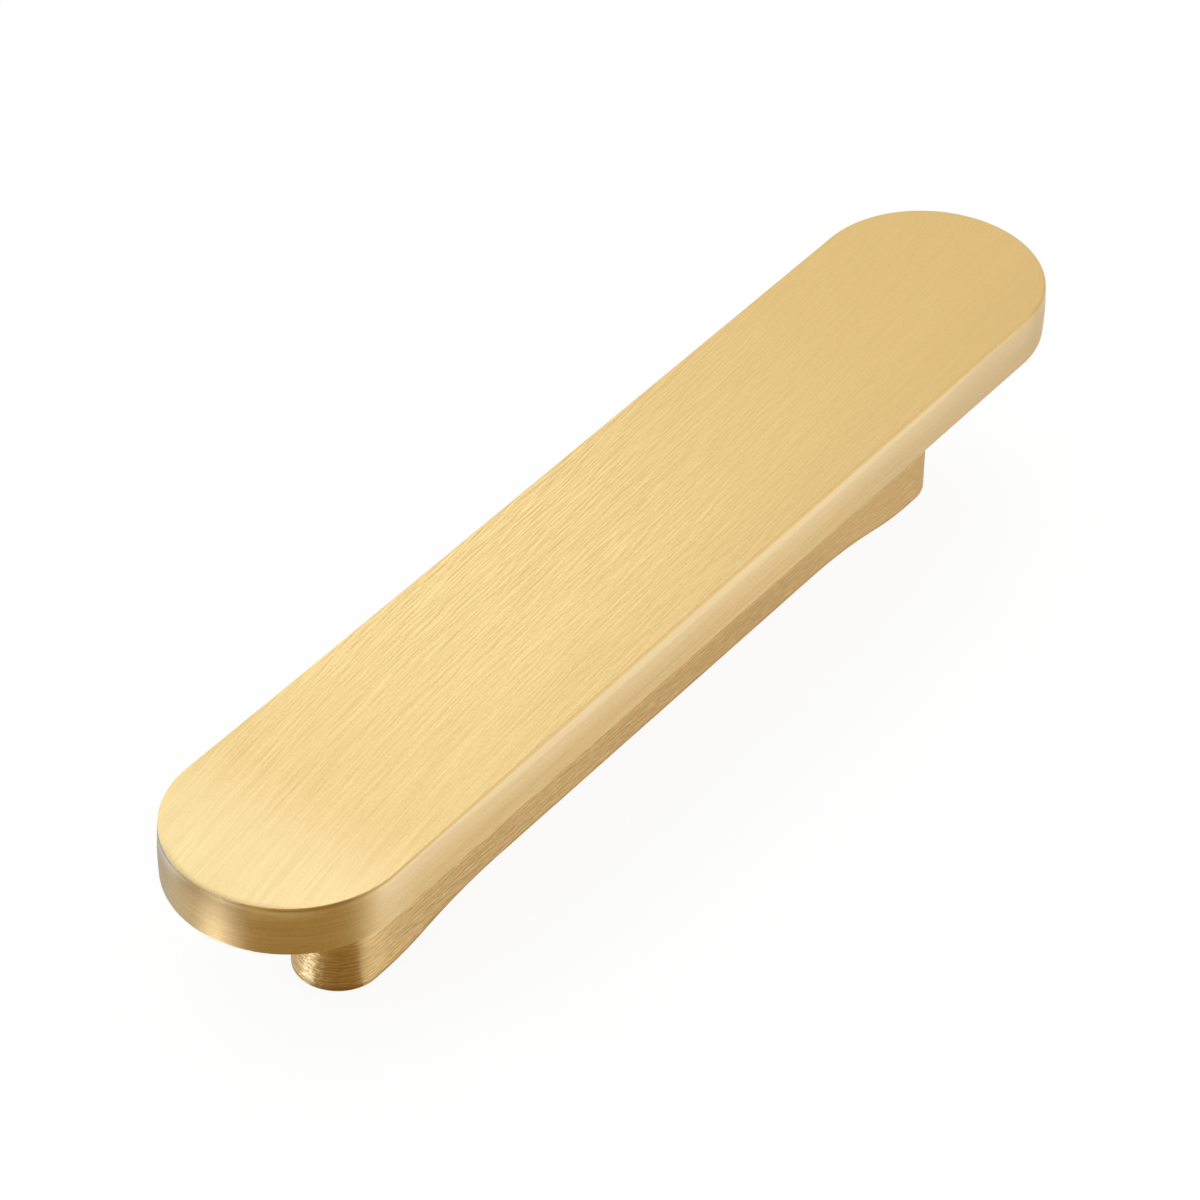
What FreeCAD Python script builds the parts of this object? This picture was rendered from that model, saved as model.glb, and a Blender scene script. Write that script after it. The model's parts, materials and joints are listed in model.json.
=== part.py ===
import FreeCAD
import Part

import math
import os

# A cabinet pull milled from one brass bar. A flat face plate with full round ends
# stands on a narrower web, also with full round ends. The web's base is relieved
# between the two feet, and each foot has a blind tapped hole for a screw that comes
# through the cabinet front.
# Frame: X runs along the pull, Z points out of the cabinet front, and the origin is
# the middle of the plane that the feet rest on. All sizes are in millimetres.

# Face plate
plate_length = 136.0
plate_width = 25.4
plate_thickness = 6.0
face_edge_radius = 0.4
back_edge_radius = 0.3

# Web and feet
projection = 23.5
web_width = 9.4
screw_spacing = 96.0
web_root_radius = 0.5
foot_edge_radius = 0.4

# Relief between the feet: a flat middle that an arc brings down at each end, and a
# softer arc that runs out into the foot
foot_length = 6.0
relief_depth = 1.9
relief_arc_radius = 60.0
relief_runout_radius = 33.0

# Screw holes, drilled and tapped M4 from the base
tap_drill_diameter = 3.3
hole_depth = 14.0
hole_mouth_chamfer = 0.5
drill_point_angle = 118.0

# Each end of the web is rounded about its own screw hole.
web_length = screw_spacing + web_width
plate_back = projection - plate_thickness

# How far a cutting or trimming shape reaches past the metal that it shapes
overrun = 1.0
# Slack for telling at what level an edge lies
level_slack = 1e-4


def stadium_bar(length, width, bottom, top):
    """Upright bar with a straight-sided, round-ended outline centred on the origin."""
    radius = width / 2
    reach = length / 2 - radius
    near_left = FreeCAD.Vector(-reach, -radius, bottom)
    near_right = FreeCAD.Vector(reach, -radius, bottom)
    far_right = FreeCAD.Vector(reach, radius, bottom)
    far_left = FreeCAD.Vector(-reach, radius, bottom)
    right_tip = FreeCAD.Vector(length / 2, 0, bottom)
    left_tip = FreeCAD.Vector(-length / 2, 0, bottom)
    outline = Part.Wire(
        [
            Part.LineSegment(near_left, near_right).toShape(),
            Part.Arc(near_right, right_tip, far_right).toShape(),
            Part.LineSegment(far_right, far_left).toShape(),
            Part.Arc(far_left, left_tip, near_left).toShape(),
        ]
    )
    return Part.Face(outline).extrude(FreeCAD.Vector(0, 0, top - bottom))


def level_edges(shape, level, reach):
    """Edges that lie wholly at one level and no further than reach from the long axis."""
    found = []
    for edge in shape.Edges:
        box = edge.BoundBox
        at_level = max(abs(box.ZMin - level), abs(box.ZMax - level)) < level_slack
        if at_level and max(-box.YMin, box.YMax) < reach + level_slack:
            found.append(edge)
    return found


def face_plate():
    """Round-ended plate with eased edges round its face and its back."""
    plate = stadium_bar(plate_length, plate_width, plate_back, projection)
    face_edges = level_edges(plate, projection, plate_width / 2)
    plate = plate.makeFillet(face_edge_radius, face_edges)
    back_edges = level_edges(plate, plate_back, plate_width / 2)
    return plate.makeFillet(back_edge_radius, back_edges)


def relief_ends():
    """Where the relief's flat middle, first arc and runout arc end along X, and the
    level at which the two arcs meet."""
    arcs = relief_arc_radius + relief_runout_radius
    foot_start = web_length / 2 - foot_length
    run = math.sqrt(2 * arcs * relief_depth - relief_depth**2)
    middle_end = foot_start - run
    share = relief_arc_radius / arcs
    return middle_end, middle_end + share * run, foot_start, relief_depth * (1 - share)


def side_profile(top):
    """Slab across the web's width whose section is the web as seen from the side."""
    middle_end, arc_end, foot_start, meeting_level = relief_ends()
    run_angle = math.asin((foot_start - middle_end) / (relief_arc_radius + relief_runout_radius))
    arc_sine = math.sin(run_angle / 2)
    arc_drop = 1 - math.cos(run_angle / 2)
    half = web_length / 2 + overrun
    across = -web_width / 2 - overrun

    def at(x, z):
        return FreeCAD.Vector(x, across, z)

    arc_middle = middle_end + relief_arc_radius * arc_sine
    arc_middle_level = relief_depth - relief_arc_radius * arc_drop
    runout_middle = foot_start - relief_runout_radius * arc_sine
    runout_middle_level = relief_runout_radius * arc_drop
    edges = [Part.LineSegment(at(-middle_end, relief_depth), at(middle_end, relief_depth)).toShape()]
    for side in (1, -1):
        first = at(side * middle_end, relief_depth)
        meeting = at(side * arc_end, meeting_level)
        last = at(side * foot_start, 0)
        arc_through = at(side * arc_middle, arc_middle_level)
        runout_through = at(side * runout_middle, runout_middle_level)
        edges.append(Part.Arc(first, arc_through, meeting).toShape())
        edges.append(Part.Arc(meeting, runout_through, last).toShape())
        edges.append(Part.LineSegment(last, at(side * half, 0)).toShape())
        edges.append(Part.LineSegment(at(side * half, 0), at(side * half, top)).toShape())
    edges.append(Part.LineSegment(at(-half, top), at(half, top)).toShape())
    section = Part.Face(Part.Wire(Part.__sortEdges__(edges)))
    return section.extrude(FreeCAD.Vector(0, web_width + 2 * overrun, 0))


def web():
    """Round-ended web from the feet up into the plate, relieved between the feet and
    eased along the whole of its lower edge."""
    top = plate_back + plate_thickness / 2
    body = stadium_bar(web_length, web_width, -overrun, top).common(side_profile(top + overrun))
    lower_edges = []
    for edge in body.Edges:
        box = edge.BoundBox
        if box.ZMax < relief_depth + level_slack and box.XLength > level_slack:
            lower_edges.append(edge)
    return body.makeFillet(foot_edge_radius, lower_edges)


def screw_hole(x):
    """Cutter for one tapped hole: chamfered mouth, tap drill bore and drill point."""
    radius = tap_drill_diameter / 2
    point_height = radius / math.tan(math.radians(drill_point_angle / 2))
    section = Part.makePolygon(
        [
            FreeCAD.Vector(x, 0, -overrun),
            FreeCAD.Vector(x + radius + hole_mouth_chamfer + overrun, 0, -overrun),
            FreeCAD.Vector(x + radius, 0, hole_mouth_chamfer),
            FreeCAD.Vector(x + radius, 0, hole_depth),
            FreeCAD.Vector(x, 0, hole_depth + point_height),
            FreeCAD.Vector(x, 0, -overrun),
        ]
    )
    return Part.Face(section).revolve(FreeCAD.Vector(x, 0, 0), FreeCAD.Vector(0, 0, 1), 360)


def pull_body():
    """The whole pull: plate and web in one, rounded where they meet, with its holes."""
    body = face_plate().fuse(web()).removeSplitter()
    root_edges = level_edges(body, plate_back, web_width / 2)
    body = body.makeFillet(web_root_radius, root_edges)
    for side in (-1, 1):
        body = body.cut(screw_hole(side * screw_spacing / 2))
    return body


def main():
    os.makedirs("parts", exist_ok=True)
    body = pull_body()
    solid = body.Solids[0]
    print("solids", len(body.Solids), "valid", solid.isValid(), "volume", round(solid.Volume, 1))
    solid.exportStep("parts/pull_body.step")


main()
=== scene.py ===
import json
import math

import bmesh
import bpy
from mathutils import Matrix, Vector


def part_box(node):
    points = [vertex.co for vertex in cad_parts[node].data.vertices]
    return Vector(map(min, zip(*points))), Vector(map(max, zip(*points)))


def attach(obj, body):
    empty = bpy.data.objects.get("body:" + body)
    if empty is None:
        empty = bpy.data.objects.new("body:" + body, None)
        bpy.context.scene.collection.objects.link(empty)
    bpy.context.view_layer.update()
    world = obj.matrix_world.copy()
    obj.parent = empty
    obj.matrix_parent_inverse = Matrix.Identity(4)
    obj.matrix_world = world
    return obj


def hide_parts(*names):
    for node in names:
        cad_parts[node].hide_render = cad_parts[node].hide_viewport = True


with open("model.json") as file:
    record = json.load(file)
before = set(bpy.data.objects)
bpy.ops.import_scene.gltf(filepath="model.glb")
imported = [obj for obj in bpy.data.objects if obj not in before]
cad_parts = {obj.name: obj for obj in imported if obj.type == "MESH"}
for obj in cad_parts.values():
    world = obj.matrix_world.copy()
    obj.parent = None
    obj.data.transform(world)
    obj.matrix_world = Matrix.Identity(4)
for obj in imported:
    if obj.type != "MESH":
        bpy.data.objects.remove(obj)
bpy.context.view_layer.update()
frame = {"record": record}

bl_info = {
    "name": "Brushed brass cabinet pull",
    "version": (1, 0, 0),
    "blender": (4, 5, 0),
    "location": "3D View > Sidebar > Pull",
    "description": "Builds a brushed brass cabinet pull and its studio round the packed part",
    "category": "Object",
}

NODE = "pull_body"
PIECE = "brass_pull"
MM = 0.001

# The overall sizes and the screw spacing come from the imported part.
NODE_LOW, NODE_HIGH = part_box(NODE)
OVERALL = NODE_HIGH - NODE_LOW
MOUNTS = {mount["name"]: mount["dims"] for mount in frame["record"]["mounts"]}
SCREW_SPACING = MOUNTS["screw_holes"]["spacing_x_mm"] * MM
TAP_RADIUS = MOUNTS["screw_holes"]["hole_r_mm"] * MM

# Steps of the mesh: along each straight side, round each half round, across a foot from
# its side to the screw hole, in from its outline to the hole, and in a turn of the thread
SIDE_STEPS = 96
END_STEPS = 48
COLLAR_STEPS = 5
FOOT_STEPS = 5
THREAD_STEPS = 8

# Steps round each rounded edge: the face's, the back's, the web's root and its lower edge
FACE_EDGE_STEPS = 7
BACK_EDGE_STEPS = 4
WEB_ROOT_STEPS = 4
FOOT_EDGE_STEPS = 5

# Rows of the mesh between the rounded edges: insets from the face's outline, depths
# below the face on the rim, and shares of the way in across the back and down the web
FACE_INSETS = (9.5 * MM, 6.5 * MM, 4.0 * MM, 2.2 * MM, 1.2 * MM, 0.75 * MM)
RIM_DEPTHS = (0.9 * MM, 1.5 * MM, 2.2 * MM, 3.0 * MM, 3.8 * MM, 4.6 * MM, 5.2 * MM)
BACK_SHARES = (0.04, 0.12, 0.3, 0.55, 0.8, 1.0)
WEB_SHARES = (0.2, 0.4, 0.6, 0.8, 0.9, 0.96, 1.0)

# Edge distance on the web, the back and the base where no wear shows
CLEAR = 2.0 * MM
# How far the face's brush strokes lean, and how much more towards the left end
BRUSH_LEAN = 0.055
BRUSH_CURL = 8.7
# Power by which the radius of the face's edge goes from mid length to the ends
EDGE_POWER = 1.5
# Half the width of a thread's groove, as a share of the pitch
GROOVE_SHARE = 0.42
# Half the angle of a drill's point, and the turn between faces that shades as an edge
DRILL_ANGLE = math.radians(59)
SHARP_ANGLE = math.radians(35)

# Material slots of the body's mesh, in the order that the materials are added in
FACE, RIM, BACK, WEB, BASE, THREAD = range(6)

# Sockets of a Mix node for colours: its share, the colours under and over, and the result
MIX_SHARE, MIX_UNDER, MIX_OVER, MIX_RESULT = 0, 6, 7, 2
# Share of their width by which strokes are moved aside to leave thin lines
LINE_SHIFT = 0.55
# How sharply glints stand out
GLINT_GAIN = 3.0


def number_property(name, description, default, **kind):
    """A number from nought up."""
    return bpy.props.FloatProperty(name=name, description=description, default=default, min=0.0, **kind)


def length_property(name, description, default):
    """A size in metres that the sidebar shows as a length."""
    return number_property(name, description, default, subtype="DISTANCE", unit="LENGTH", precision=5)


def angle_property(name, description, degrees):
    """An angle, with its default given in degrees."""
    angle = math.radians(degrees)
    return bpy.props.FloatProperty(name=name, description=description, default=angle, subtype="ANGLE")


def colour_property(name, description, default):
    """A scene-linear colour."""
    kind = {"min": 0.0, "max": 1.0, "size": 3, "subtype": "COLOR"}
    return bpy.props.FloatVectorProperty(name=name, description=description, default=default, **kind)


class PullSizes(bpy.types.PropertyGroup):
    """Sizes of the pull that its mesh is built from"""

    plate_length: length_property("Plate length", "Length of the face plate over its round ends", OVERALL.x)
    plate_width: length_property("Plate width", "Width of the face plate", OVERALL.y)
    projection: length_property("Projection", "Height of the face above the feet", OVERALL.z)
    plate_thickness: length_property("Plate thickness", "Thickness of the face plate", 6.0 * MM)
    front_edge: length_property("Front edge", "Radius of the face's edge at mid length", 0.38 * MM)
    front_edge_near: length_property("Front edge, left", "Radius of that edge at the left end", 0.02 * MM)
    front_edge_far: length_property("Front edge, right", "Radius of that edge at the right end", 0.32 * MM)
    rim_crown: length_property("Rim crown", "How far the plate's rim bulges between its edges", 0.12 * MM)
    back_edge: length_property("Back edge", "Radius of the edge round the back of the plate", 0.3 * MM)
    web_width: length_property("Web width", "Thickness of the web behind the plate", 9.4 * MM)
    web_root: length_property("Web root", "Inside radius between the web and the plate", 0.5 * MM)
    foot_edge: length_property("Foot edge", "Radius along the lower edge of the web", 0.4 * MM)
    foot_length: length_property("Foot length", "Flat part of each foot, from its end", 6.0 * MM)
    relief_depth: length_property("Relief depth", "Height of the relief between the feet", 1.9 * MM)
    relief_arc: length_property("Relief arc", "Radius at each end of the relief", 60.0 * MM)
    relief_runout: length_property("Relief runout", "Radius that runs the relief out to the foot", 33.0 * MM)
    screw_spacing: length_property("Screw spacing", "Distance between the screw holes", SCREW_SPACING)
    tap_radius: length_property("Tap drill radius", "Radius of the crests of the thread", TAP_RADIUS)
    hole_depth: length_property("Hole depth", "Depth of each screw hole up to its drill point", 14.0 * MM)
    hole_mouth: length_property("Hole mouth", "Chamfer at the mouth of each screw hole", 0.5 * MM)
    thread_length: length_property("Thread length", "Depth to which each hole is tapped", 12.0 * MM)
    thread_pitch: length_property("Thread pitch", "Distance between the turns of the thread", 0.7 * MM)
    thread_depth: length_property("Thread depth", "Depth of the thread's grooves", 0.35 * MM)


class BrassFinish(bpy.types.PropertyGroup):
    """Colours and grain of the brushed brass"""

    face_light: colour_property("Face, light", "Lighter brass of the brushed face", (1.0, 0.745, 0.345))
    face_dark: colour_property("Face, dark", "Darker brass of the brushed face", (0.62, 0.425, 0.17))
    # Painted highlight: paler brass for the face's left end, the rim's crest there and the left foot's
    # glints
    face_highlight: colour_property("Face, left end", "Paler brass of its left end", (1.0, 0.785, 0.41))
    # Painted shade: darker, browner brass towards the face's right end
    face_right_shade: colour_property("Face, right end", "Browner brass of its right end", (0.80, 0.53, 0.18))
    rim_light: colour_property("Rim, light", "Lighter brass of the plate's rim", (0.81, 0.577, 0.273))
    rim_dark: colour_property("Rim, dark", "Darker brass of the plate's rim", (0.54, 0.373, 0.164))
    web_light: colour_property("Web, light", "Lighter brass of the web", (0.92, 0.645, 0.29))
    web_dark: colour_property("Web, dark", "Darker brass in the web's scratches", (0.36, 0.208, 0.07))
    # Painted shade: greyer, darker brass towards the rim's right end
    rim_right_shade: colour_property("Rim, worn", "Greyer brass of the rim's right end", (0.56, 0.42, 0.24))
    lip: colour_property("Lip", "Brass on the rounded edge between face and rim", (0.73, 0.495, 0.195))
    # Lacquer pooled along the edges, also laid on as painted shade under the face's edge at the rim's left
    # end
    edge_line_and_shade: colour_property("Edge line", "Lacquer that has pooled along an edge", (0.33, 0.175, 0.045))
    # Painted highlight: the pale line below the face's edge at the left end
    highlight_line: colour_property("Bared line", "Pale metal worn bare under the edge", (0.83, 0.70, 0.47))
    # Rubbed brass and painted highlight: the bright bands on the rim below the face's edge
    edge_rub_highlight: colour_property("Rubbed edge", "Brass rubbed bright along an edge", (1.0, 0.80, 0.505))
    thread_light: colour_property("Thread", "Bare brass in the tapped holes", (0.95, 0.74, 0.36))
    stroke_length: length_property("Stroke length", "Usual length of a brush stroke", 4.0 * MM)
    stroke_width: length_property("Stroke width", "Usual width of the finest strokes", 0.17 * MM)
    scratch_length: length_property("Scratch length", "Usual length of a scratch on the web", 2.6 * MM)
    scratch_width: length_property("Scratch width", "Usual width of a scratch on the web", 0.16 * MM)


class PullStudio(bpy.types.PropertyGroup):
    """Camera, lamps, cards and floor round the pull"""

    azimuth: angle_property("Azimuth", "Where the camera stands round the pull", -55.0)
    elevation: angle_property("Elevation", "Camera's height above the horizon", 39.11)
    roll: angle_property("Roll", "Camera's turn about its own axis", 1.415)
    distance: length_property("Camera distance", "From the camera to the point it looks at", 602.8 * MM)
    focal_length: number_property("Focal length", "Camera lens, in millimetres", 178.52)
    floor_colour: colour_property("Floor", "Colour of the floor", (0.96, 0.96, 0.96))
    floor_glow: number_property(
        "Floor whiteness", "Share that stays white in its shadow", 0.9, max=1.0, subtype="FACTOR"
    )
    brown_card: colour_property("Brown card", "Card before the left end", (0.50, 0.385, 0.195))
    cool_card: colour_property("Cool card", "Card behind the upper side", (0.60, 0.69, 0.90))
    grey_card: colour_property("Grey card", "Card behind the left end", (0.65, 0.62, 0.64))
    nose_card: colour_property("Nose card", "Glow that the plate's left end shows", (0.80, 0.91, 1.0))
    foot_card: colour_property("Foot card", "Glow that the left foot shows", (0.63, 0.78, 1.0))
    panel_colour: colour_property("Panels", "Colour of the lamps' light", (0.72, 0.86, 1.0))
    world_colour: colour_property("Room", "Colour of the light from all round", (1.0, 1.0, 1.0))
    world_strength: number_property("Room light", "Strength of the light from all round", 1.0)


def base_level(x, sizes):
    """Height of the web's base at x: flat feet, a runout arc, a larger arc and a flat middle."""
    foot_start = (sizes.screw_spacing + sizes.web_width) / 2 - sizes.foot_length
    arcs = sizes.relief_arc + sizes.relief_runout
    run = math.sqrt(2 * arcs * sizes.relief_depth - sizes.relief_depth**2)
    middle_end = foot_start - run
    meeting = middle_end + run * sizes.relief_arc / arcs
    reach = abs(x)
    if reach >= foot_start:
        return 0.0
    if reach >= meeting:
        into = foot_start - reach
        return sizes.relief_runout - math.sqrt(sizes.relief_runout**2 - into**2)
    if reach <= middle_end:
        return sizes.relief_depth
    into = reach - middle_end
    return sizes.relief_depth - sizes.relief_arc + math.sqrt(sizes.relief_arc**2 - into**2)


def front_edge_radius(x, sizes):
    """Radius of the hand-finished edge round the face, which varies along the pull."""
    share = max(-1.0, min(1.0, 2 * x / sizes.plate_length))
    end = sizes.front_edge_far if share > 0 else sizes.front_edge_near
    return sizes.front_edge + (end - sizes.front_edge) * abs(share) ** EDGE_POWER


class Columns:
    """The columns of the body's mesh, from the middle of the back side once round.

    Each is a share of the straight side, from -1 to 1, with the outline's outward
    direction there, so the same columns fit every straight-sided, round-ended outline.
    """

    def __init__(self):
        half = SIDE_STEPS // 2
        back = [(-i / half, 0.0, 1.0) for i in range(half)]
        left = [(-1.0, *self.direction(90 + 180 * i / END_STEPS)) for i in range(END_STEPS)]
        front = [(2 * i / SIDE_STEPS - 1, 0.0, -1.0) for i in range(SIDE_STEPS)]
        right = [(1.0, *self.direction(270 + 180 * i / END_STEPS)) for i in range(END_STEPS)]
        rest = [(1 - i / half, 0.0, 1.0) for i in range(half)]
        self.places = back + left + front + right + rest
        self.count = len(self.places)
        self.front_start = half + END_STEPS
        self.back_start = self.front_start + SIDE_STEPS + END_STEPS

    @staticmethod
    def direction(degrees):
        angle = math.radians(degrees)
        return math.cos(angle), math.sin(angle)

    def front(self, station):
        """Column on the front side at a station counted from the left."""
        return self.front_start + station

    def back(self, station):
        """Column on the back side at a station counted from the left."""
        return (self.back_start + SIDE_STEPS - station) % self.count

    def ring(self, reach, radius, level):
        """Points of one outline. Radius and level may be functions of x."""
        points = []
        for share, nx, ny in self.places:
            x = share * reach
            r = radius(x) if callable(radius) else radius
            z = level(x + nx * r) if callable(level) else level
            points.append(Vector((x + nx * r, ny * r, z)))
        return points

    def run(self, reach, radius):
        """Distance round an outline to each column, and back to the first one."""
        lengths = [0.0]
        for (share, nx, ny), (next_share, next_nx, next_ny) in zip(
            self.places, self.places[1:] + self.places[:1], strict=True
        ):
            straight = abs(next_share - share) * reach
            turn = math.atan2(nx * next_ny - ny * next_nx, nx * next_nx + ny * next_ny)
            lengths.append(lengths[-1] + straight + turn * radius)
        return lengths


class BodyMesh:
    """Grows the pull's mesh row by row, with its materials, brushing map and edge
    distances. The next strip of faces starts from the last row."""

    def __init__(self):
        self.bm = bmesh.new()
        self.map = self.bm.loops.layers.uv.new("Brushing")
        self.edge = self.bm.verts.layers.float.new("edge_distance")
        self.last = []

    def row(self, points, edge_distance=CLEAR):
        """Vertices at the points, with their distance from an edge, which may be a
        function of x."""
        vertices = [self.bm.verts.new(point) for point in points]
        for vertex in vertices:
            vertex[self.edge] = edge_distance(vertex.co.x) if callable(edge_distance) else edge_distance
        return vertices

    def quad(self, corners, material, places):
        """One face, unless two of its corners are the same vertex."""
        kept = []
        for corner, place in zip(corners, places, strict=True):
            if all(corner is not other for other, _ in kept):
                kept.append((corner, place))
        if len(kept) < 3:
            return
        face = self.bm.faces.new([corner for corner, _ in kept])
        face.material_index = material
        face.smooth = True
        for loop, (_, place) in zip(face.loops, kept, strict=True):
            loop[self.map].uv = place

    def skirt(self, upper, lower, material, place):
        """Closed strip of faces between two rows. place gives a corner's spot on the
        brushing map from its vertex and column."""
        count = len(upper)
        for i in range(count):
            j = (i + 1) % count
            corners = (upper[i], lower[i], lower[j], upper[j])
            columns = (i, i, i + 1, i + 1)
            places = [place(corner.co, column) for corner, column in zip(corners, columns, strict=True)]
            self.quad(corners, material, places)

    def grow(self, points, material, place, edge_distance=CLEAR):
        """Joins the last row to a new one by a strip of faces."""
        upper = self.last
        self.last = self.row(points, edge_distance)
        self.skirt(upper, self.last, material, place)


def fade(value, start, end):
    """Nought before start, one after end and a straight ramp between."""
    return max(0.0, min(1.0, (value - start) / (end - start)))


def quarter_turn(steps):
    """Steps round a quarter circle. Each has its angle, how far it still has to go one way
    and how far it has gone the other, as shares of the radius."""
    for step in range(1, steps + 1):
        tilt = math.pi / 2 * step / steps
        yield tilt, 1 - math.sin(tilt), 1 - math.cos(tilt)


def plan_place(point, column):
    """Spot on the brushing map for a surface brushed along the pull."""
    return point.x, point.y


def brushed_place(point, column):
    """Spot on the brushing map of the face, where the brush runs a little aslant, and
    more so towards the left end."""
    lean = BRUSH_LEAN * point.x + BRUSH_CURL * min(point.x, 0.0) ** 3
    return point.x, point.y - lean


def build_plate(body, columns, sizes):
    """Face, rim and back of the plate, in to where the web's root starts."""
    radius = sizes.plate_width / 2
    reach = sizes.plate_length / 2 - radius
    top = sizes.projection
    back = top - sizes.plate_thickness
    run = columns.run(reach, radius)

    def edge(x):
        return front_edge_radius(x, sizes)

    def crown(depth):
        """How far the rim falls in at a depth below the face."""
        return sizes.rim_crown * (2 * depth / sizes.plate_thickness - 1) ** 2

    def rim_place(point, column):
        return run[column], point.z

    spots = {round(share, 6): share * reach for share, _, _ in columns.places}
    centre = {key: body.row([(x, 0, top)], radius)[0] for key, x in sorted(spots.items())}
    body.last = [centre[round(share, 6)] for share, _, _ in columns.places]
    for inset in FACE_INSETS:
        body.grow(columns.ring(reach, radius - inset, top), FACE, brushed_place, inset)
    body.grow(columns.ring(reach, lambda x: radius - edge(x), top), FACE, brushed_place, 0.0)

    for tilt, to_go, gone in quarter_turn(FACE_EDGE_STEPS):
        ring = columns.ring(
            reach,
            lambda x, to_go=to_go: radius - crown(edge(x)) - edge(x) * to_go,
            lambda x, gone=gone: top - edge(x) * gone,
        )
        body.grow(ring, RIM, rim_place, lambda x, tilt=tilt: edge(x) * tilt)
    for depth in RIM_DEPTHS:
        ring = columns.ring(reach, radius - crown(depth), top - depth)
        body.grow(ring, RIM, rim_place, lambda x, depth=depth: edge(x) * (math.pi / 2 - 1) + depth)
    lowest = sizes.plate_thickness - sizes.back_edge
    ring = columns.ring(reach, radius - crown(lowest), back + sizes.back_edge)
    body.grow(ring, RIM, rim_place, sizes.plate_thickness)
    outline = radius - crown(sizes.plate_thickness)
    for _, to_go, gone in quarter_turn(BACK_EDGE_STEPS):
        ring = columns.ring(reach, outline - sizes.back_edge * gone, back + sizes.back_edge * to_go)
        body.grow(ring, RIM, rim_place, sizes.plate_thickness)

    web_reach = sizes.screw_spacing / 2
    web_radius = sizes.web_width / 2 + sizes.web_root
    back_radius = outline - sizes.back_edge
    for share in BACK_SHARES:
        ring_reach = reach + (web_reach - reach) * share
        ring_radius = back_radius + (web_radius - back_radius) * share
        body.grow(columns.ring(ring_reach, ring_radius, back), BACK, plan_place)


def build_web(body, columns, sizes):
    """Sides of the web, from its root down and round its lower edge."""
    reach = sizes.screw_spacing / 2
    radius = sizes.web_width / 2
    back = sizes.projection - sizes.plate_thickness
    root = back - sizes.web_root
    run = columns.run(reach, radius)

    def web_place(point, column):
        return run[column], point.z

    def lowest(x):
        return base_level(x, sizes) + sizes.foot_edge

    for _, to_go, gone in quarter_turn(WEB_ROOT_STEPS):
        ring = columns.ring(reach, radius + sizes.web_root * to_go, back - sizes.web_root * gone)
        body.grow(ring, WEB, web_place)
    for share in WEB_SHARES:
        ring = columns.ring(reach, radius, lambda x, share=share: root + (lowest(x) - root) * share)
        body.grow(ring, WEB, web_place, (1 - share) * (root - sizes.foot_edge))
    for _, to_go, gone in quarter_turn(FOOT_EDGE_STEPS):
        inset = sizes.foot_edge * gone
        rise = sizes.foot_edge * to_go
        ring = columns.ring(reach, radius - inset, lambda x, rise=rise: base_level(x, sizes) + rise)
        body.grow(ring, WEB, web_place, 0.0)


def build_base(body, columns, sizes):
    """Underside of the web, with a tapped hole in each foot."""
    rim = body.last
    cross_steps = END_STEPS - 2 * COLLAR_STEPS
    strips = {}
    for station in range(COLLAR_STEPS, SIDE_STEPS - COLLAR_STEPS + 1):
        front = rim[columns.front(station)]
        back = rim[columns.back(station)]
        strip = [front]
        for step in range(1, cross_steps):
            point = front.co.lerp(back.co, step / cross_steps)
            strip.extend(body.row([point]))
        strips[station] = strip + [back]
    for station in range(COLLAR_STEPS, SIDE_STEPS - COLLAR_STEPS):
        this, after = strips[station], strips[station + 1]
        for step in range(cross_steps):
            corners = (this[step], this[step + 1], after[step + 1], after[step])
            body.quad(corners, BASE, [plan_place(corner.co, 0) for corner in corners])

    # Outlines of the feet, anticlockwise seen from the face
    right = [rim[columns.front(SIDE_STEPS) + i] for i in range(END_STEPS)]
    right += [rim[columns.back(SIDE_STEPS - i)] for i in range(COLLAR_STEPS)]
    right += strips[SIDE_STEPS - COLLAR_STEPS][:0:-1]
    right += [rim[columns.front(SIDE_STEPS - COLLAR_STEPS + i)] for i in range(COLLAR_STEPS)]
    left = [rim[columns.back(0) + i] for i in range(END_STEPS)]
    left += [rim[columns.front(i)] for i in range(COLLAR_STEPS)]
    left += strips[COLLAR_STEPS][:-1]
    left += [rim[columns.back(COLLAR_STEPS - i)] for i in range(COLLAR_STEPS)]
    build_foot(body, sizes, sizes.screw_spacing / 2, -90, right)
    build_foot(body, sizes, -sizes.screw_spacing / 2, 90, left)


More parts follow.
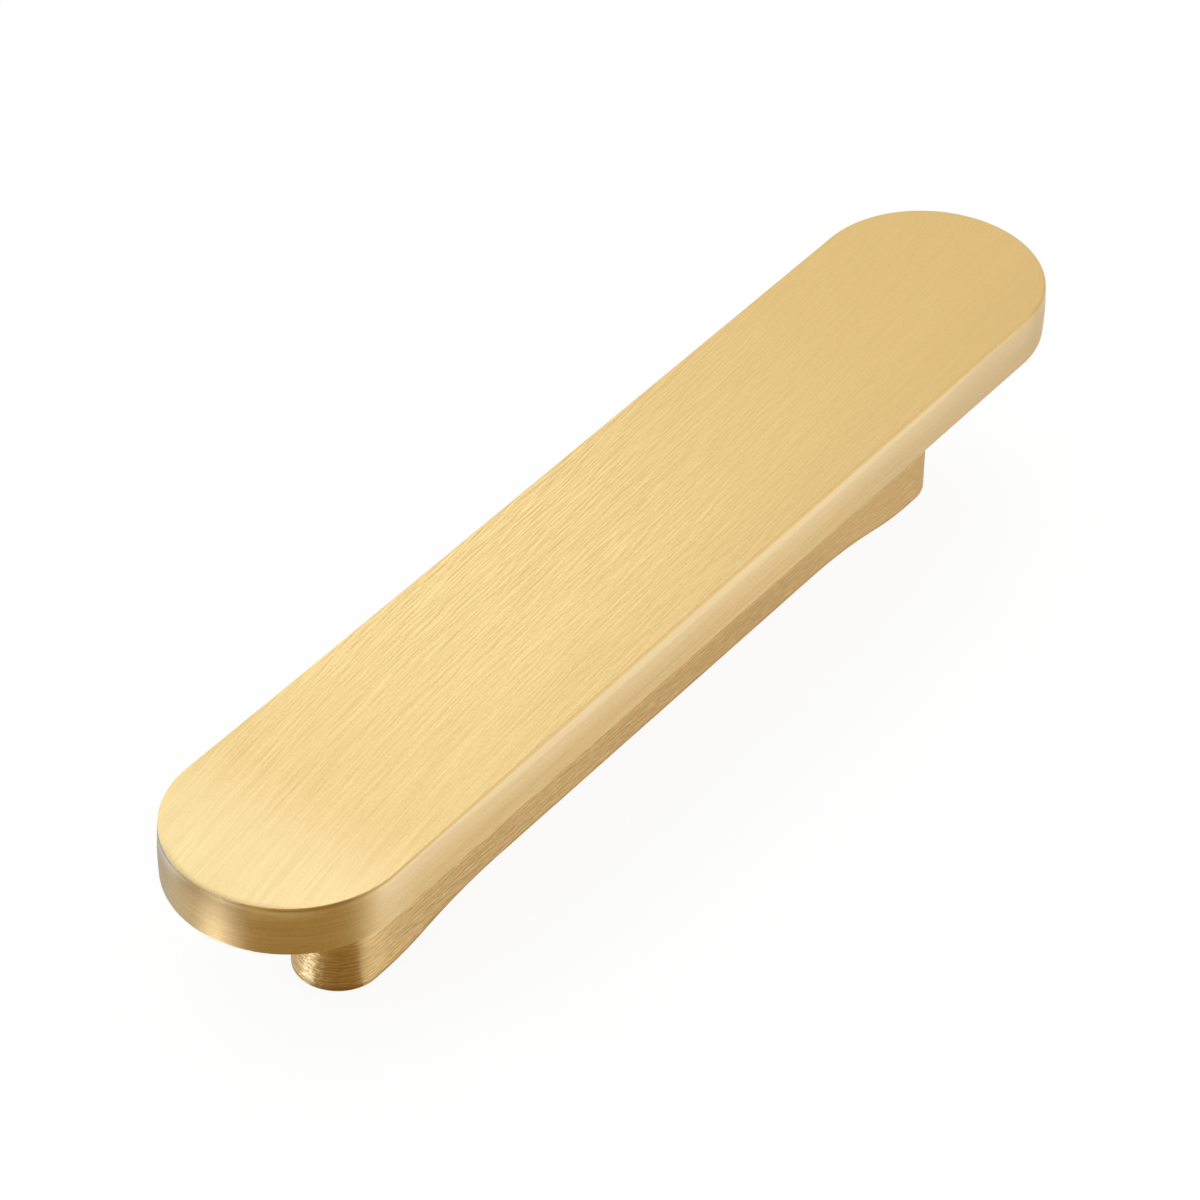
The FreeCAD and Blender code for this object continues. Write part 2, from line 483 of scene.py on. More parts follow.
def build_foot(body, sizes, x, start, outline):
    """One foot round its screw hole at x, and the hole itself. The outline starts at an
    angle in degrees."""
    count = len(outline)
    angles = [math.radians(start + 360 * i / count) for i in range(count)]

    def circle(radius, level):
        """Points round the hole. The radius may be a function of the angle."""
        points = []
        for angle in angles:
            r = radius(angle) if callable(radius) else radius
            points.append(Vector((x + r * math.cos(angle), r * math.sin(angle), level)))
        return points

    def hole_place(point, column):
        return column * math.tau * sizes.tap_radius / count, point.z

    mouth = circle(sizes.tap_radius + sizes.hole_mouth, 0.0)
    body.last = outline
    for step in range(1, FOOT_STEPS + 1):
        way = step / FOOT_STEPS
        points = [outer.co.lerp(inner, way) for outer, inner in zip(outline, mouth, strict=True)]
        for point in points:
            point.z = base_level(point.x, sizes)
        body.grow(points, BASE, plan_place)
    body.grow(circle(sizes.tap_radius, sizes.hole_mouth), THREAD, hole_place)
    step_height = sizes.thread_pitch / THREAD_STEPS
    for step in range(1, round((sizes.thread_length - sizes.hole_mouth) / step_height) + 1):
        level = sizes.hole_mouth + step * step_height
        strength = fade(level, sizes.hole_mouth, sizes.hole_mouth + sizes.thread_pitch / 2)
        strength *= 1 - fade(level, sizes.thread_length - sizes.thread_pitch, sizes.thread_length)

        def threaded(angle, level=level, strength=strength):
            turn = (level / sizes.thread_pitch - angle / math.tau) % 1.0
            groove = max(0.0, 1 - abs(turn - 0.5) / GROOVE_SHARE)
            return sizes.tap_radius + sizes.thread_depth * groove * strength

        body.grow(circle(threaded, level), THREAD, hole_place)
    body.grow(circle(sizes.tap_radius, sizes.hole_depth), THREAD, hole_place)
    drill_point = sizes.tap_radius / math.tan(DRILL_ANGLE)
    tip = body.row([Vector((x, 0, sizes.hole_depth + drill_point))])[0]
    body.skirt(body.last, [tip] * count, THREAD, hole_place)


def mesh_object(name, bm, materials):
    """Object in the scene with that mesh and those materials."""
    mesh = bpy.data.meshes.new(name)
    bm.to_mesh(mesh)
    bm.free()
    for material in materials:
        mesh.materials.append(material)
    made = bpy.data.objects.new(name, mesh)
    bpy.context.scene.collection.objects.link(made)
    return made


def add_node(tree, kind, values=None, **settings):
    """A shader node with its settings, and its inputs' values or links."""
    node = tree.nodes.new(kind)
    for name, value in settings.items():
        setattr(node, name, value)
    for name, value in (values or {}).items():
        if isinstance(value, bpy.types.NodeSocket):
            tree.links.new(value, node.inputs[name])
        else:
            node.inputs[name].default_value = value
    return node


def new_group(name, inputs, output):
    """A shader node group that puts out one value. An input with no default is a vector
    and the others are values. Returns the group and its sockets, seen from inside."""
    group = bpy.data.node_groups.new(name, "ShaderNodeTree")
    for label, default in inputs.items():
        kind = "NodeSocketVector" if default is None else "NodeSocketFloat"
        socket = group.interface.new_socket(label, in_out="INPUT", socket_type=kind)
        if default is not None:
            socket.default_value = default
    group.interface.new_socket(output, in_out="OUTPUT", socket_type="NodeSocketFloat")
    start = group.nodes.new("NodeGroupInput")
    end = group.nodes.new("NodeGroupOutput")
    return group, start.outputs, end.inputs[output]


def maths(tree, operation, first, second=None, clamp=False):
    """Output of a Math node."""
    values = {0: first}
    if second is not None:
        values[1] = second
    return add_node(tree, "ShaderNodeMath", values, operation=operation, use_clamp=clamp).outputs[0]


def stroke_group():
    """Streaks drawn out along one direction, as an abrasive belt leaves them. They waver
    a little, so that they are never quite parallel, and Shift moves them sideways by a
    share of their width."""
    inputs = {"Vector": None, "Length": 0.01, "Width": 0.0002, "Waver": 0.0002, "Shift": 0.0}
    inputs.update({"Seed": 0.0, "Detail": 2.0, "Contrast": 1.0})
    group, given, strokes = new_group("Brush strokes", inputs, "Strokes")
    values = {"Vector": given["Vector"], "Scale": 320.0, "Detail": 1.0}
    drift = add_node(group, "ShaderNodeTexNoise", values, noise_dimensions="3D").outputs["Fac"]
    aside = maths(group, "MULTIPLY", maths(group, "SUBTRACT", drift, 0.5), given["Waver"])
    parts = add_node(group, "ShaderNodeSeparateXYZ", {0: given["Vector"]}).outputs
    along = maths(group, "DIVIDE", parts["X"], given["Length"])
    across = maths(group, "DIVIDE", maths(group, "ADD", parts["Y"], aside), given["Width"])
    across = maths(group, "ADD", across, given["Shift"])
    place = add_node(group, "ShaderNodeCombineXYZ", {"X": along, "Y": across, "Z": given["Seed"]})
    values = {"Vector": place.outputs[0], "Scale": 1.0, "Detail": given["Detail"], "Roughness": 0.6}
    noise = add_node(group, "ShaderNodeTexNoise", values, noise_dimensions="3D").outputs["Fac"]
    spread = maths(group, "MULTIPLY", maths(group, "SUBTRACT", noise, 0.5), given["Contrast"])
    group.links.new(maths(group, "ADD", spread, 0.5, clamp=True), strokes)


def edge_wear_group():
    """Mask that is one at an edge and falls off with distance, broken up along the edge."""
    inputs = {"Distance": 0.0, "Width": 0.0004, "Breakup": 0.5, "Pattern": 0.5}
    group, given, wear = new_group("Edge wear", inputs, "Wear")
    near = maths(group, "DIVIDE", given["Distance"], given["Width"])
    near = maths(group, "SUBTRACT", 1.0, near, clamp=True)
    kept = maths(group, "MULTIPLY", given["Pattern"], given["Breakup"])
    kept = maths(group, "SUBTRACT", 1.0, kept, clamp=True)
    group.links.new(maths(group, "MULTIPLY", near, kept, clamp=True), wear)


def new_material(name):
    """A material with its node tree and the shader that it starts with."""
    material = bpy.data.materials.new(name)
    material.use_nodes = True
    return material, material.node_tree, material.node_tree.nodes["Principled BSDF"]


class BrassMaterial:
    """One brass finish on a Principled BSDF: brush map, two-tone strokes, lines and bump.
    Places are in metres, along and across the pull from its middle and up from its feet."""

    def __init__(self, finish, name, roughness, anisotropy):
        self.sizes = finish.id_data.pull_sizes
        self.half = self.sizes.plate_length / 2
        self.material, self.tree, shader = new_material(name)
        self.shader = shader.inputs
        self.shader["Metallic"].default_value = 1.0
        self.shader["Roughness"].default_value = roughness
        self.shader["Anisotropic"].default_value = anisotropy
        self.shader["Anisotropic Rotation"].default_value = 0.25
        self.map = add_node(self.tree, "ShaderNodeUVMap", uv_map="Brushing").outputs["UV"]
        edge = add_node(self.tree, "ShaderNodeAttribute", attribute_name="edge_distance")
        self.edge = edge.outputs["Fac"]
        tangent = add_node(self.tree, "ShaderNodeTangent", direction_type="UV_MAP", uv_map="Brushing")
        self.tree.links.new(tangent.outputs["Tangent"], self.shader["Tangent"])
        self.colour = None

    def group(self, name, values):
        """Output of one of the shader node groups, placed here with its own values."""
        placed = bpy.data.node_groups[name]
        return add_node(self.tree, "ShaderNodeGroup", values, node_tree=placed).outputs[0]

    def strokes(self, length, width, seed, detail=1.0, contrast=3.0, waver=0.2, shift=0.0):
        """Strokes of one size over the brushing map, moved aside by a share of their width."""
        values = {"Vector": self.map, "Length": length, "Width": width, "Waver": width * waver}
        values.update({"Shift": shift, "Seed": seed, "Detail": detail, "Contrast": contrast})
        return self.group("Brush strokes", values)

    def lines(self, length, width, seed, waver):
        """Thin lines: strokes less the same ones a little aside, which leaves no clouds."""
        there = self.strokes(length, width, seed, 0.0, 4.5, waver)
        aside = self.strokes(length, width, seed, 0.0, 4.5, waver, LINE_SHIFT)
        swing = maths(self.tree, "MULTIPLY", maths(self.tree, "SUBTRACT", there, aside), 0.5)
        return maths(self.tree, "ADD", swing, 0.5)

    def glints(self, strokes, start):
        """Mask of the brightest parts of some strokes, those above start."""
        above = maths(self.tree, "SUBTRACT", strokes, start)
        return maths(self.tree, "MULTIPLY", above, GLINT_GAIN, clamp=True)

    def wear(self, width, breakup, pattern, gain=1.0):
        """Mask that falls off with the distance from an edge, strengthened by the gain."""
        values = {"Distance": self.edge, "Width": width, "Breakup": breakup, "Pattern": pattern}
        return maths(self.tree, "MULTIPLY", self.group("Edge wear", values), gain, clamp=True)

    def between(self, value, low, high, start=0.0, end=1.0):
        """Runs from low to high as the value runs from start to end."""
        values = {"Value": value, "From Min": start, "From Max": end, "To Min": low, "To Max": high}
        return add_node(self.tree, "ShaderNodeMapRange", values).outputs["Result"]

    def slope(self, axis, start, end, low=0.0, high=1.0):
        """Runs evenly from low to high between two places on an axis of the object."""
        place = add_node(self.tree, "ShaderNodeTexCoord").outputs["Object"]
        parts = add_node(self.tree, "ShaderNodeSeparateXYZ", {0: place}).outputs
        return self.between(parts[axis], low, high, start, end)

    def along(self, axis, start, end, levels):
        """Follows evenly spaced levels between two places on an axis of the object."""
        ramp = add_node(self.tree, "ShaderNodeValToRGB", {"Fac": self.slope(axis, start, end)})
        ramp.color_ramp.interpolation = "EASE"
        points = ramp.color_ramp.elements
        last = len(levels) - 1
        for i, level in enumerate(levels):
            point = points[0] if i == 0 else points[-1] if i == last else points.new(i / last)
            point.position = i / last
            point.color = (level, level, level, 1.0)
        return ramp.outputs["Color"]

    def lengthwise(self, levels):
        """Follows evenly spaced levels from the pull's left end to its right end."""
        return self.along("X", -self.half, self.half, levels)

    def line_at(self, distance, width):
        """Mask of a line at a distance from the edge, which may be a socket."""
        aside = maths(self.tree, "ABSOLUTE", maths(self.tree, "SUBTRACT", self.edge, distance))
        aside = maths(self.tree, "DIVIDE", aside, width / 2)
        return maths(self.tree, "SUBTRACT", 1.0, aside, clamp=True)

    def product(self, first, *rest):
        """All the values multiplied together."""
        for value in rest:
            first = maths(self.tree, "MULTIPLY", first, value)
        return first

    def mix(self, share, under, over):
        """Colour that goes from one to the other by a share between nought and one."""
        values = {MIX_SHARE: share, MIX_UNDER: under, MIX_OVER: (*over, 1.0)}
        return add_node(self.tree, "ShaderNodeMix", values, data_type="RGBA").outputs[MIX_RESULT]

    def two_tone(self, dark, light, layers):
        """Base colour between a dark and a light brass. Each layer is its strokes, its
        weight and the pressures, if any, that it varies by over the pull."""
        total = 0.5
        for strokes, *weights in layers:
            swing = self.product(maths(self.tree, "SUBTRACT", strokes, 0.5), *weights)
            total = maths(self.tree, "ADD", swing, total)
        total = maths(self.tree, "ADD", total, 0.0, clamp=True)
        self.colour = self.mix(total, (*dark, 1.0), light)

    def paint(self, colour, *shares):
        """Mixes a colour over what is there, by the product of the shares."""
        self.colour = self.mix(self.product(*shares), self.colour, colour)

    def finish(self, height, depth, roughness=None):
        """Joins the colour, the bump and the roughness to the shader."""
        self.tree.links.new(self.colour, self.shader["Base Color"])
        bump = add_node(self.tree, "ShaderNodeBump", {"Height": height, "Strength": 1.0, "Distance": depth})
        self.tree.links.new(bump.outputs["Normal"], self.shader["Normal"])
        if roughness is not None:
            self.tree.links.new(roughness, self.shader["Roughness"])
        return self.material


def face_brass(finish):
    """Brushed face. Fine lines and bright thin scratches in patches show at mid length
    and the broader ones towards the left end, and the right end is the smoothest."""
    brass = BrassMaterial(finish, "brushed face brass", 0.5, 0.9)
    length = finish.stroke_length
    width = finish.stroke_width
    half = brass.half
    side = brass.sizes.plate_width / 2
    fine = brass.lines(length * 0.8, width * 1.4, 1.3, 0.05)
    medium = brass.strokes(length * 2, width, 9.9, detail=0.0)
    long = brass.strokes(length * 3.6, width * 2, 7.1)
    broad = brass.strokes(length * 10, width * 11, 4.4, 2.0, 2.4)
    grain = brass.strokes(width * 1.2, width * 0.9, 13.5)
    patches = brass.strokes(length * 2.5, width * 9, 3.6, 1.0, 1.3)
    thin = brass.strokes(length * 1.3, width * 0.9, 17.8, detail=0.0, waver=0.05)
    middle = brass.lengthwise((0.3, 0.4, 0.9, 1.0, 0.5, 0.1, 0.0))
    left = brass.lengthwise((1.0, 1.0, 0.8, 0.5, 0.7, 0.6, 0.5))
    worked = brass.lengthwise((0.7, 0.75, 1.0, 1.0, 0.6, 0.45, 0.45))
    upper = brass.along("Y", -side, side, (0.7, 0.8, 0.9, 1.0, 1.25, 1.5))
    pressed = brass.product(middle, upper, brass.between(patches, 0.75, 1.3))
    layers = (
        (fine, 0.5, pressed),
        (medium, 0.1, left),
        (long, 0.05),
        (broad, 0.035, left),
        (grain, 0.22, worked),
    )
    brass.two_tone(finish.face_dark, finish.face_light, layers)
    brass.paint(finish.face_light, brass.glints(thin, 0.66), pressed, 0.33)
    # Painted shade: darker brass over the front quarter of the face along most of its length
    near = brass.along("Y", -side, -side / 4, (1.0, 0.9, 0.4, 0.0))
    near_length = brass.along("X", -0.045, 0.062, (0.0, 0.7, 1.0, 1.0, 0.8, 0.6, 0.7))
    brass.paint(finish.face_dark, near, near_length, 0.2)
    # Painted highlight: the face paler towards its left end
    end = brass.along("X", -0.064, -0.05, (1.0, 0.85, 0.6, 0.3, 0.0))
    brass.paint(finish.face_highlight, end, 0.55)
    # Painted shade: the face darker and browner towards its right end
    right = brass.lengthwise((0.0, 0.0, 0.0, 0.0, 0.4, 0.9, 1.0))
    brass.paint(finish.face_right_shade, right, 0.22)
    tip = brass.along("X", -half, -half + 4 * MM, (1.0, 0.65, 0.5, 0.2, 0.0))
    brass.paint(finish.edge_line_and_shade, brass.wear(0.8 * MM, 0.3, long), tip, 0.62)
    height = maths(brass.tree, "ADD", fine, medium)
    return brass.finish(height, 0.0015 * MM, brass.between(long, 0.47, 0.53))


def rim_brass(finish):
    """Rim of the plate: faint lengthwise strokes, rubbed brass and a painted highlight below
    the face's edge along the sides, painted shade towards the right end, and a round end
    with a painted highlight line and painted shade under its edge."""
    brass = BrassMaterial(finish, "brushed rim brass", 0.48, 0.9)
    length = finish.stroke_length
    width = finish.stroke_width
    half = brass.half
    fine = brass.strokes(length * 2.7, width * 0.8, 11.7)
    long = brass.strokes(length * 7, width * 2, 2.9)
    grain = brass.strokes(width, width * 0.8, 23.5)
    brass.two_tone(finish.rim_dark, finish.rim_light, ((fine, 0.25), (long, 0.18), (grain, 0.25)))
    # Painted shade: the rim greyer and darker towards its right end
    worn = brass.lengthwise((0.0, 0.0, 0.0, 0.0, 0.0, 0.3, 0.8, 0.9))
    brass.paint(finish.rim_right_shade, worn, 0.6)
    # Rubbed brass and painted highlight: a bright band below the face's edge along the sides
    sides = brass.lengthwise((1.0, 1.0, 1.0, 1.0, 1.0, 1.0, 0.9, 0.7, 0.3))
    sides = brass.product(sides, brass.along("X", -0.0598, -0.0563, (0.0, 1.0)))
    brass.paint(finish.edge_rub_highlight, brass.wear(4.2 * MM, 0.2, long, 1.25), sides, 0.38)
    # Painted highlight where the left end turns into the sides
    turn = brass.along("X", -0.0595, -0.051, (0.0, 1.0, 0.8, 0.4, 0.0))
    brass.paint(finish.edge_rub_highlight, turn, 0.14)
    # Painted highlight: a bright band along the top of the rim's sides
    depth = brass.lengthwise((0.4, 0.54, 0.98, 1.0, 1.0, 0.9, 0.72, 0.45, 0.4))
    band = maths(brass.tree, "SUBTRACT", brass.product(depth, 1.75 * MM), brass.edge)
    band = maths(brass.tree, "DIVIDE", band, 0.35 * MM, clamp=True)
    brass.paint(finish.edge_rub_highlight, band, sides, 0.24)
    # Painted highlight under the face's edge at the left end's tip
    tip_highlight = brass.along("X", -half, -0.062, (0.0, 0.9, 1.0, 0.6, 0.2, 0.0))
    brass.paint(finish.edge_rub_highlight, brass.wear(2.0 * MM, 0.1, long, 1.6), tip_highlight, 0.42)
    # Painted shade: darker rim under the face's edge at the left end, which keeps the highlight to its lower
    # part
    tip = brass.along("X", -0.0677, -0.0668, (1.0, 0.0))
    brass.paint(finish.edge_line_and_shade, brass.wear(1.5 * MM, 0.1, long, 1.5), tip, 0.3)
    brass.paint(finish.edge_line_and_shade, brass.wear(3.0 * MM, 0.1, long), tip, 0.3)
    lipped = brass.along("X", -0.064, -0.056, (0.2, 0.9))
    brass.paint(finish.lip, brass.wear(0.55 * MM, 0.1, fine, 3.0), lipped)
    left_end = brass.along("X", -0.066, -0.046, (1.0, 0.0))
    off_tip = brass.along("X", -half, -half + 2 * MM, (0.0, 0.25, 1.0))
    brass.paint(finish.edge_line_and_shade, brass.line_at(0.32 * MM, 0.56 * MM), left_end, off_tip, 0.65)
    # Painted highlight: a pale line below the face's edge round the left end
    highlight_line = brass.line_at(brass.slope("X", -half, -half + 3 * MM, 0.37 * MM, 0.92 * MM), 0.8 * MM)
    highlight_line_end = brass.along("X", -half, -0.0625, (0.15, 0.7, 0.8, 0.75, 0.55, 0.25, 0.0))
    brass.paint(finish.highlight_line, highlight_line, highlight_line_end)
    # Painted highlight along the crest of the rim at the left end
    crest_highlight = brass.along("X", -half, -0.054, (0.3, 1.0, 1.0, 0.9, 0.3, 0.0))
    brass.paint(finish.face_highlight, brass.wear(0.15 * MM, 0.1, long, 2.5), crest_highlight, 0.9)
    polished = brass.along("X", -0.067, -0.061, (1.0, 0.0))
    polish = brass.product(brass.wear(0.9 * MM, 0.1, long, 1.6), polished)
    return brass.finish(fine, 0.002 * MM, brass.between(polish, 0.5, 0.24))


def web_brass(finish):
    """Sides of the web: coarse lengthwise scratches that the finer brush didn't reach,
    some of them glinting, and a dark line along the lower edge."""
    brass = BrassMaterial(finish, "scratched web brass", 0.5, 0.85)
    length = finish.scratch_length
    width = finish.scratch_width
    mid_height = brass.sizes.projection / 2
    tip = -(brass.sizes.screw_spacing + brass.sizes.web_width) / 2
    coarse = brass.lines(length, width * 1.5, 21.3, 0.3)
    long = brass.strokes(length * 5, width, 5.6)
    short = brass.strokes(length * 0.3, width * 0.8, 15.2)
    thin = brass.strokes(length * 0.8, width * 0.8, 33.1, detail=0.0, waver=0.2)
    left = brass.lengthwise((1.3, 1.2, 0.9, 0.7, 0.6, 0.5))
    low = brass.along("Z", 0.0, mid_height, (1.2, 1.0, 0.8))
    rounded = brass.along("X", tip, -0.047, (0.65, 1.1))
    layers = (
        (coarse, 0.52, left, low, rounded),
        (long, 0.1, left),
        (short, 0.2, left, low, rounded),
    )
    brass.two_tone(finish.web_dark, finish.web_light, layers)
    # Painted shade: darker brass over the lower part of the web, varying along it
    shade = brass.along("Z", 0.0, mid_height, (0.9, 1.0, 1.0, 0.2, 0.1, 0.0))
    middle = brass.along("X", -0.8 * brass.half, 0.8 * brass.half, (0.5, 1.05, 0.8, 1.1, 1.3, 0.65, 0.9))
    brass.paint(finish.web_dark, shade, middle, 0.35)
    # Painted highlight: lighter brass on the web's upper part near the left foot, and where it turns from
    # the foot
    bright = (0.0, 0.3, 1.0, 1.0, 0.85, 0.7, 0.5, 0.4, 0.3, 0.15, 0.0)
    bright = brass.along("X", -0.052, -0.032, bright)
    high = brass.along("Z", 0.0055, 0.0075, (0.12, 1.0))
    brass.paint(finish.face_light, bright, high, 0.62)
    turn = brass.along("X", -0.0505, -0.0455, (0.0, 1.0, 0.6, 0.0))
    brass.paint(finish.face_light, turn, 0.2)
    brass.paint(finish.face_light, brass.glints(thin, 0.66), rounded, left, 0.2)
    # Painted highlight: glints on the left foot's end where it catches the light
    sparks = brass.strokes(length * 0.18, width, 41.7, detail=0.0, waver=0.6)
    foot_end = brass.along("X", tip, tip + 0.8 * MM, (1.0, 0.8, 0.35, 0.12, 0.0))
    brass.paint(finish.face_highlight, brass.glints(sparks, 0.6), foot_end, 0.7)
    lined = brass.along("X", -0.045, -0.03, (1.0, 0.5))
    brass.paint(finish.edge_line_and_shade, brass.wear(0.35 * MM, 0.5, coarse), lined, 0.8)
    # Darker along the lower edge of the web's left half
    low_darkening = brass.along("X", -0.051, -0.031, (0.0, 0.9, 1.0, 0.9, 0.5, 0.0))
    brass.paint(finish.edge_line_and_shade, brass.wear(0.9 * MM, 0.5, coarse), low_darkening, 0.35)
    height = maths(brass.tree, "ADD", coarse, short)
    return brass.finish(height, 0.006 * MM, brass.between(long, 0.45, 0.54))


def back_brass(finish):
    """Back of the plate and base of the web: milled and lightly brushed."""
    brass = BrassMaterial(finish, "milled back brass", 0.4, 0.5)
    fine = brass.strokes(finish.stroke_length * 3.6, finish.stroke_width * 1.4, 31.0)
    broad = brass.strokes(finish.stroke_length * 12, finish.stroke_width * 7, 8.2, 1.0)
    brass.two_tone(finish.rim_dark, finish.rim_light, ((fine, 0.5), (broad, 0.35)))
    return brass.finish(fine, 0.004 * MM, brass.between(broad, 0.36, 0.44))


def thread_brass(finish):
    """Tapped holes: bare bright metal with the marks of the tap."""
    brass = BrassMaterial(finish, "tapped hole brass", 0.28, 0.4)
    fine = brass.strokes(finish.stroke_width * 5, finish.stroke_width * 0.4, 17.0)
    brass.two_tone(finish.web_dark, finish.thread_light, ((fine, 0.6),))
    return brass.finish(fine, 0.004 * MM)


class PULL_OT_body(bpy.types.Operator):
    """Builds the pull in one mesh and gives it its brushed brass"""

    bl_idname = "pull.body"
    bl_label = "Pull body"

    def execute(self, context):
        sizes = context.scene.pull_sizes
        finish = context.scene.pull_finish
        columns = Columns()
        body = BodyMesh()
        build_plate(body, columns, sizes)
        build_web(body, columns, sizes)
        build_base(body, columns, sizes)
        stroke_group()
        edge_wear_group()
        back = back_brass(finish)
        materials = [face_brass(finish), rim_brass(finish), back, web_brass(finish), back]
        piece = mesh_object(PIECE, body.bm, materials + [thread_brass(finish)])
        piece.data.set_sharp_from_angle(angle=SHARP_ANGLE)
        weighted = piece.modifiers.new("Flat faces stay flat", "WEIGHTED_NORMAL")
        weighted.keep_sharp = True
        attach(piece, "root")
        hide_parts(NODE)
        return {"FINISHED"}


# Soft lamps: width and height, brightness, the spot that each stands on, and the ways
# that its back is turned and its height runs
LAMPS = {
    "panel behind": ((0.12, 0.7), 1.0, (0.26, 0.2225, 0.335), (0.636, 0.445, 0.631), (0, -0.817, 0.576)),
    "panel on the right": ((0.45, 0.18), 1.2, (0.12, -0.32, 0.1), (0.35, -0.93, 0.0), (0, 0, 1)),
    "panel on the left": ((0.5, 0.16), 1.4, (-0.331, 0.215, 0.144), (-0.79, 0.51, 0.34), (0, 0, 1)),
}
# Standing cards: the outline on the table in millimetres, the azimuths that each reaches
# out to and its height there
CARDS = {
    "brown_card": (
        ((-58, -37), (-50.3, -12), (-49.6, -5), (-50, -0.5), (-59.4, 1), (-92.5, -1.1)),
        (175, 281),
        1.2,
    ),
    "cool_card": (((-67, 3), (-50, 14)), (60, 120), 1.0),
    "grey_card": (((-93, -1), (-67, 3)), (120, 175), 1.0),
}
# Glowing cards: the outline on the table in millimetres, and the brightness
GLOWING_CARDS = {
    "nose_card": (((-67.9, -1.6), (-67.9, 1.6), (-77.5, 16.2), (-82.8, 8.0)), 8.0),
    "foot_card": (((-52.9, -0.4), (-52.9, 1.6), (-57.5, 6.5), (-57.5, 2.2)), 3.1),
}
# How far the standing cards reach out, their steps round the arc, and the levels of both
# kinds above the table
CARD_REACH = 0.5
CARD_STEPS = 24
CARD_LEVEL = 0.3 * MM
GLOWING_CARD_LEVEL = 0.6 * MM
FLOOR_RADIUS = 4.0
# The point that the camera looks at
AIM = (-5.0 * MM, -0.3 * MM, 18.15 * MM)


def direction_of(azimuth, elevation):
    """Unit vector towards a place on the sky. Azimuth is anticlockwise from +X."""
    a = math.radians(azimuth)
    e = math.radians(elevation)
    return Vector((math.cos(a) * math.cos(e), math.sin(a) * math.cos(e), math.sin(e)))


def add_lamp(name, colour, size, brightness, spot, away, tall):
    """Soft flat lamp on a spot, with its back turned away and its height along tall.
    Brightness is what a mirror would show of it."""
    lamp = bpy.data.lights.new(name, "AREA")
    lamp.shape = "RECTANGLE"
    lamp.size, lamp.size_y = size
    lamp.color = colour
    lamp.energy = brightness * math.pi * size[0] * size[1]
    panel = bpy.data.objects.new(name, lamp)
    panel.visible_camera = False
    bpy.context.scene.collection.objects.link(panel)
    back = Vector(away).normalized()
    across = Vector(tall).cross(back).normalized()
    turn = Matrix((across, back.cross(across), back)).transposed().to_4x4()
    panel.matrix_world = Matrix.Translation(spot) @ turn


def matt_material(name, colour):
    """Matt material for the stage."""
    material, _, shader = new_material(name)
    shader.inputs["Base Color"].default_value = (*colour, 1.0)
    shader.inputs["Roughness"].default_value = 1.0
    shader.inputs["Specular IOR Level"].default_value = 0.0
    return material


def floor_material(colour, glow):
    """White floor that keeps a soft shadow and shows as white in the metal too."""
    material = matt_material("white floor", colour)
    tree = material.node_tree
    rays = add_node(tree, "ShaderNodeLightPath").outputs
    seen = maths(tree, "MAXIMUM", rays["Is Camera Ray"], rays["Is Glossy Ray"])
    seen = maths(tree, "MAXIMUM", seen, rays["Is Transmission Ray"])
    share = maths(tree, "MULTIPLY", seen, glow)
    white = add_node(tree, "ShaderNodeEmission", {"Color": (1.0, 1.0, 1.0, 1.0), "Strength": 1.0})
    mix = add_node(tree, "ShaderNodeMixShader", {0: share})
    tree.links.new(tree.nodes["Principled BSDF"].outputs[0], mix.inputs[1])
    tree.links.new(white.outputs[0], mix.inputs[2])
    tree.links.new(mix.outputs[0], tree.nodes["Material Output"].inputs["Surface"])
    return material


def glowing_material(name, colour, brightness):
    """Card that glows by itself, seen as bright in the metal."""
    material, tree, shader = new_material(name)
    tree.nodes.remove(shader)
    glow = add_node(tree, "ShaderNodeEmission", {"Color": (*colour, 1.0), "Strength": brightness})
    tree.links.new(glow.outputs[0], tree.nodes["Material Output"].inputs["Surface"])
    return material


def add_card(name, material, outline, level, arc=None, height=0.0):
    """Card on the table, which only reflections see. With an arc of azimuths it reaches
    out to there and stands up behind. The outline runs round the pull from the side of
    the arc's end to that of its start."""
    bm = bmesh.new()
    far = []
    if arc:
        turn = arc[1] - arc[0]
        ways = [direction_of(arc[0] + turn * i / CARD_STEPS, 0) for i in range(CARD_STEPS + 1)]
        far = [way * CARD_REACH for way in ways]
    table = [bm.verts.new((x * MM, y * MM, level)) for x, y in outline]
    low = [bm.verts.new((point.x, point.y, level)) for point in far]
    bm.faces.new(table + low)
    high = [bm.verts.new((point.x, point.y, height)) for point in far]
    for i in range(len(far) - 1):
        bm.faces.new((low[i], low[i + 1], high[i + 1], high[i]))
    card = mesh_object(name, bm, [material])
    card.visible_camera = False
    card.visible_diffuse = False
    card.visible_transmission = False
    card.visible_shadow = False


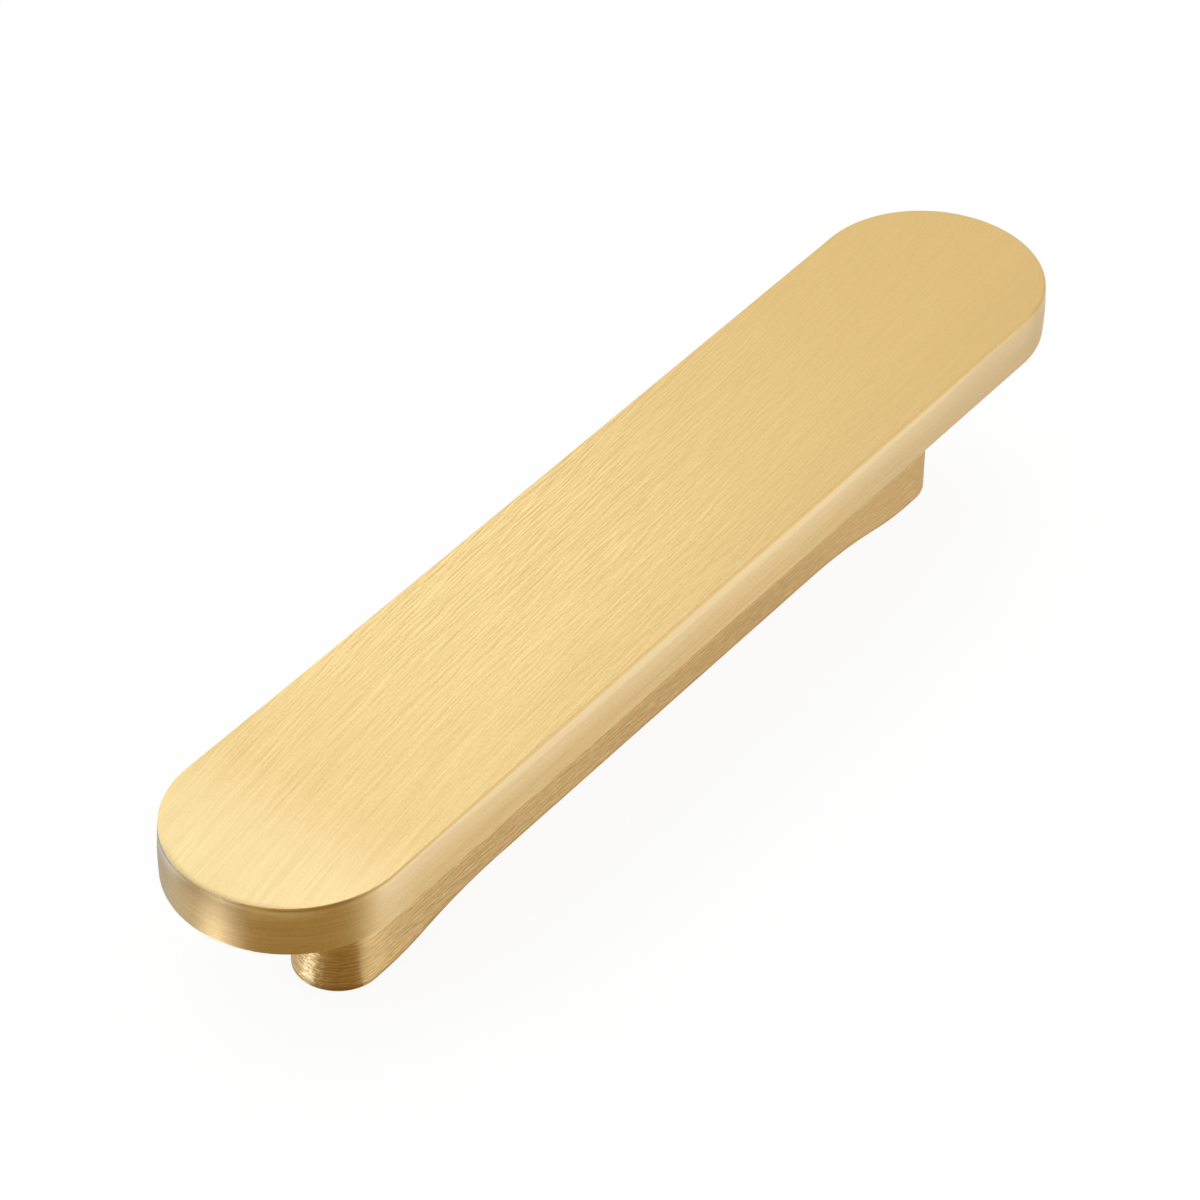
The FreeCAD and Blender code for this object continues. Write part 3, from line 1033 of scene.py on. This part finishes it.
class PULL_OT_stage(bpy.types.Operator):
    """Sets the floor, the lamps, the cards and the camera"""

    bl_idname = "pull.stage"
    bl_label = "Studio"

    def execute(self, context):
        studio = context.scene.pull_studio
        scene = context.scene
        scene.view_settings.view_transform = "Standard"

        bm = bmesh.new()
        bmesh.ops.create_circle(bm, cap_ends=True, segments=64, radius=FLOOR_RADIUS)
        floor = mesh_object("studio_floor", bm, [floor_material(studio.floor_colour, studio.floor_glow)])

        world = bpy.data.worlds.new("pale room")
        world.use_nodes = True
        background = world.node_tree.nodes["Background"]
        background.inputs["Color"].default_value = (*studio.world_colour, 1.0)
        background.inputs["Strength"].default_value = studio.world_strength
        scene.world = world

        for name, lamp in LAMPS.items():
            add_lamp(name, studio.panel_colour, *lamp)
        for name, (outline, arc, height) in CARDS.items():
            add_card(name, matt_material(name, getattr(studio, name)), outline, CARD_LEVEL, arc, height)
        for name, (outline, brightness) in GLOWING_CARDS.items():
            glow = glowing_material(name, getattr(studio, name), brightness)
            add_card(name, glow, outline, GLOWING_CARD_LEVEL)

        back = direction_of(math.degrees(studio.azimuth) - 90, math.degrees(studio.elevation))
        camera = bpy.data.objects.new("camera", bpy.data.cameras.new("camera"))
        camera.data.sensor_width = 36.0
        camera.data.lens = studio.focal_length
        camera.data.clip_start = 0.01
        scene.collection.objects.link(camera)
        turn = (-back).to_track_quat("-Z", "Y").to_matrix().to_4x4() @ Matrix.Rotation(studio.roll, 4, "Z")
        camera.matrix_world = Matrix.Translation(Vector(AIM) + back * studio.distance) @ turn
        scene.camera = camera
        return {"FINISHED"}


class PULL_PT_panel(bpy.types.Panel):
    """Lists the pull's operators, sizes and finishes"""

    bl_idname = "PULL_PT_panel"
    bl_label = "Brass pull"
    bl_space_type = "VIEW_3D"
    bl_region_type = "UI"
    bl_category = "Pull"

    def draw(self, context):
        layout = self.layout
        for operator in (PULL_OT_body, PULL_OT_stage):
            layout.operator(operator.bl_idname)
        for place in GROUPS:
            group = getattr(context.scene, place)
            column = layout.column(align=True)
            for name in group.bl_rna.properties.keys():
                if name not in ("rna_type", "name"):
                    column.prop(group, name)


GROUPS = {"pull_sizes": PullSizes, "pull_finish": BrassFinish, "pull_studio": PullStudio}
CLASSES = (*GROUPS.values(), PULL_OT_body, PULL_OT_stage, PULL_PT_panel)


def register():
    for cls in CLASSES:
        bpy.utils.register_class(cls)
    for place, group in GROUPS.items():
        setattr(bpy.types.Scene, place, bpy.props.PointerProperty(type=group))


def unregister():
    for place in GROUPS:
        delattr(bpy.types.Scene, place)
    for cls in reversed(CLASSES):
        bpy.utils.unregister_class(cls)


def main():
    register()
    bpy.ops.pull.body()
    bpy.ops.pull.stage()


if __name__ == "__main__":
    main()
